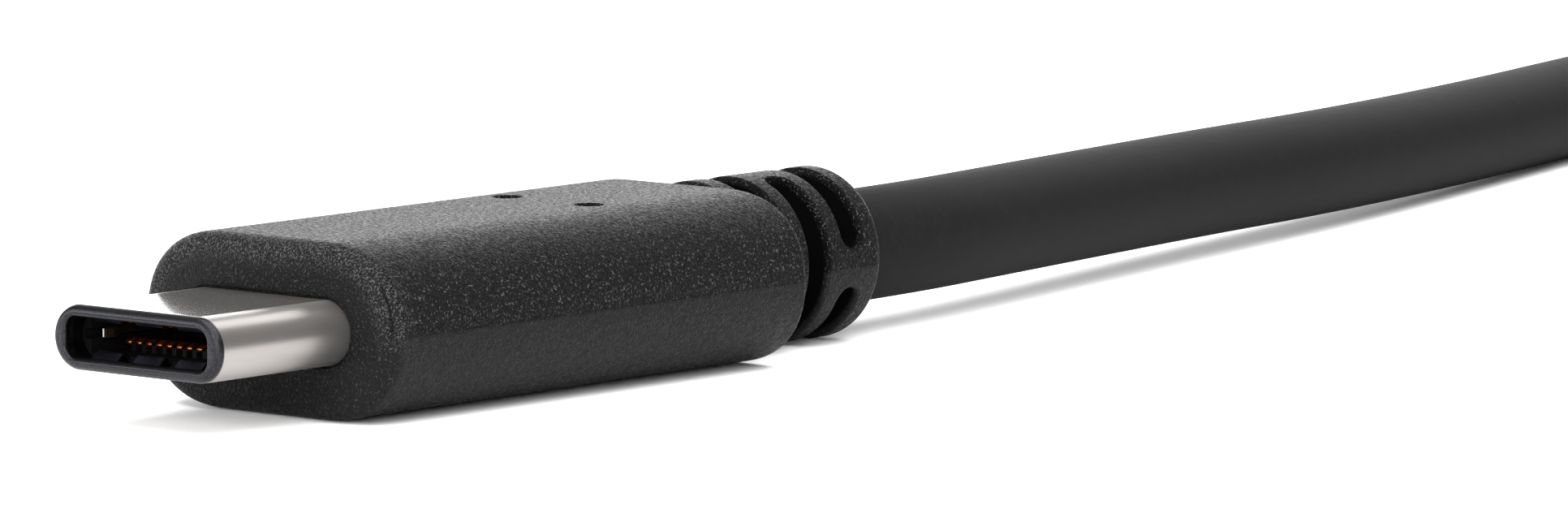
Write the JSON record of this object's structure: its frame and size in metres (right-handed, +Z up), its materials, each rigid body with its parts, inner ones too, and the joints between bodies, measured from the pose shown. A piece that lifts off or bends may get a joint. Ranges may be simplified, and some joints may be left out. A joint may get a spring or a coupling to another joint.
{
  "type": "usb-c to usb-a adapter cable",
  "caption": "Short adapter lead with a small oval reversible plug in a moulded grip, a slotted strain relief, a round cable and a wide rectangular socket in a second grip.",
  "frame": {"origin": "On the resting surface under the middle of the plug's grip.", "axes": "+X from the plug towards the socket, +Z up from the surface that the cable lies on, +Y to the side that the lead bends to."},
  "size_m": [0.2196, 0.0372, 0.0084],
  "materials": {
    "shell_metal": "satin nickel plate",
    "socket_metal": "bright nickel plate",
    "spring_metal": "rolled strip",
    "contact_metal": "gold flash over copper alloy",
    "grip_plastic": "fine spark-eroded grain",
    "cable_plastic": "smooth matte",
    "insulator_plastic": "moulded",
    "inner_plastic": "translucent natural",
    "card_laminate": "laminate",
    "chip_ceramic": "fired",
    "shield_metal": "tinned",
    "braid_metal": "tinned braid",
    "ferrule_metal": "drawn",
    "red_plastic": "extruded",
    "black_plastic": "extruded",
    "green_plastic": "extruded",
    "white_plastic": "extruded",
    "blue_plastic": "extruded",
    "yellow_plastic": "extruded"
  },
  "bodies": {
    "root": {"a_black_wire": "black_plastic", "a_braid": "braid_metal", "a_crimp_ferrule": "ferrule_metal", "a_first_fast_pair": "blue_plastic", "a_green_wire": "green_plastic", "a_grip": "grip_plastic", "a_inner_mould": "inner_plastic", "a_insulator": "insulator_plastic", "a_jacket_end": "cable_plastic", "a_narrow_contacts": "contact_metal", "a_rear_cover": "shield_metal", "a_red_wire": "red_plastic", "a_second_fast_pair": "yellow_plastic", "a_shell": "socket_metal", "a_white_wire": "white_plastic", "a_wide_contacts": "contact_metal", "c_black_wire": "black_plastic", "c_bottom_shield": "shield_metal", "c_bottom_spring": "spring_metal", "c_braid": "braid_metal", "c_bypass_capacitor": "chip_ceramic", "c_crimp_ferrule": "ferrule_metal", "c_first_fast_pair": "blue_plastic", "c_green_wire": "green_plastic", "c_grip": "grip_plastic", "c_inner_mould": "inner_plastic", "c_insulator": "insulator_plastic", "c_jacket_end": "cable_plastic", "c_latch_plate": "spring_metal", "c_lower_contacts": "contact_metal", "c_paddle_card": "card_laminate", "c_pulldown_resistor": "chip_ceramic", "c_red_wire": "red_plastic", "c_second_fast_pair": "yellow_plastic", "c_shell": "shell_metal", "c_top_shield": "shield_metal", "c_top_spring": "spring_metal", "c_upper_contacts": "contact_metal", "c_white_wire": "white_plastic", "cable_jacket": "cable_plastic"}
  },
  "joints": []
}
